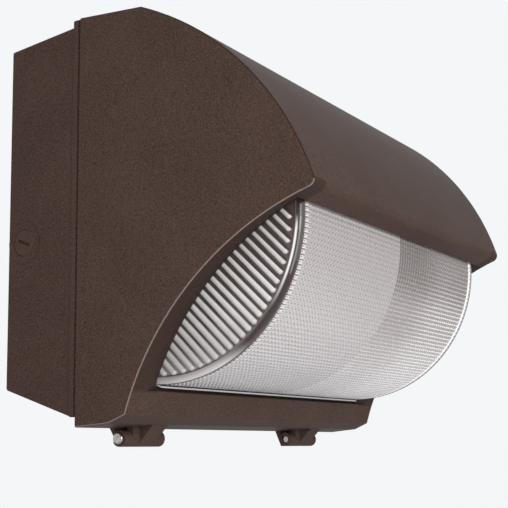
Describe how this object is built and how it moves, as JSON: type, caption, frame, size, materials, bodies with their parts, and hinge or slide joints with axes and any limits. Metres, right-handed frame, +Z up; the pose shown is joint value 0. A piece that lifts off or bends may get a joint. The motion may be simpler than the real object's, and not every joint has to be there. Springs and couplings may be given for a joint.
{
  "type": "wall pack light",
  "caption": "Wall-mounted floodlight with a cast back box, a bottom-hinged hooded door, a prismatic glass lens and captive door screws.",
  "frame": {"origin": "centre of the four wall screw holes, on the wall plane", "axes": "+Z up, +Y into the wall, +X to the right for someone facing the wall; the light faces -Y"},
  "size_m": [0.5, 0.3217, 0.4167],
  "materials": {
    "housing_powder_coat": "fine-textured dark bronze powder coat on die-cast aluminium",
    "door_powder_coat": "fine-textured dark bronze powder coat on die-cast aluminium",
    "plug_powder_coat": "dark bronze powder coat on a cast aluminium plug",
    "silicone_gasket": "matt black moulded silicone",
    "prismatic_glass": "clear pressed prismatic borosilicate glass",
    "spring_steel": "blued and cleaned spring steel strip",
    "zinc_plated_steel": "bright zinc plating",
    "stainless_steel": "turned stainless steel",
    "galvanised_steel": "hot-dip galvanised sheet",
    "varnished_laminations": "varnished silicon-steel laminations",
    "coil_wrap": "amber varnished paper and tape wrap",
    "aluminium_can": "drawn aluminium",
    "ignitor_moulding": "black moulded thermoset",
    "terminal_moulding": "white moulded polyamide",
    "earth_green": "green-dyed zinc plating",
    "bright_anodised_sheet": "semi-specular bright anodised sheet",
    "glazed_porcelain": "white glazed porcelain",
    "nickel_plated_brass": "nickel-plated brass shell",
    "lamp_glass": "clear blown glass",
    "arc_tube_ceramic": "translucent arc tube on a wire frame",
    "wire_insulation": "black extruded insulation"
  },
  "bodies": {
    "housing": {"back_housing": "housing_powder_coat", "conduit_plugs": "plug_powder_coat", "housing_gasket": "silicone_gasket", "hinge_pins": "stainless_steel", "gear_tray": "galvanised_steel", "tray_screws": "zinc_plated_steel", "ballast_core": "varnished_laminations", "ballast_coils": "coil_wrap", "ballast_bolts": "zinc_plated_steel", "capacitor": "aluminium_can", "capacitor_strap": "galvanised_steel", "ignitor": "ignitor_moulding", "terminal_block": "terminal_moulding", "earth_screw": "earth_green", "reflector": "bright_anodised_sheet", "reflector_screws": "zinc_plated_steel", "socket_bracket": "galvanised_steel", "lamp_socket": "glazed_porcelain", "lamp_base": "nickel_plated_brass", "lamp_envelope": "lamp_glass", "arc_tube": "arc_tube_ceramic", "lead_wires": "wire_insulation"},
    "door": {"door_casting": "door_powder_coat", "lens": "prismatic_glass", "lens_gasket": "silicone_gasket", "lens_clips": "spring_steel", "clip_screws": "zinc_plated_steel", "screw_washers": "stainless_steel"},
    "door_screw_left": {"door_screw_left": "stainless_steel"},
    "door_screw_right": {"door_screw_right": "stainless_steel"}
  },
  "joints": [
    {"name": "door_hinge", "type": "hinge", "parent": "housing", "child": "door", "pos_m": [0, -0.101, -0.21], "axis": [1, 0, 0], "range_deg": [0, 105]},
    {"name": "left_screw_slide", "type": "slide", "parent": "door", "child": "door_screw_left", "axis": [0, -1, 0], "range_m": [0, 0.008]},
    {"name": "right_screw_slide", "type": "slide", "parent": "door", "child": "door_screw_right", "axis": [0, -1, 0], "range_m": [0, 0.008]}
  ]
}
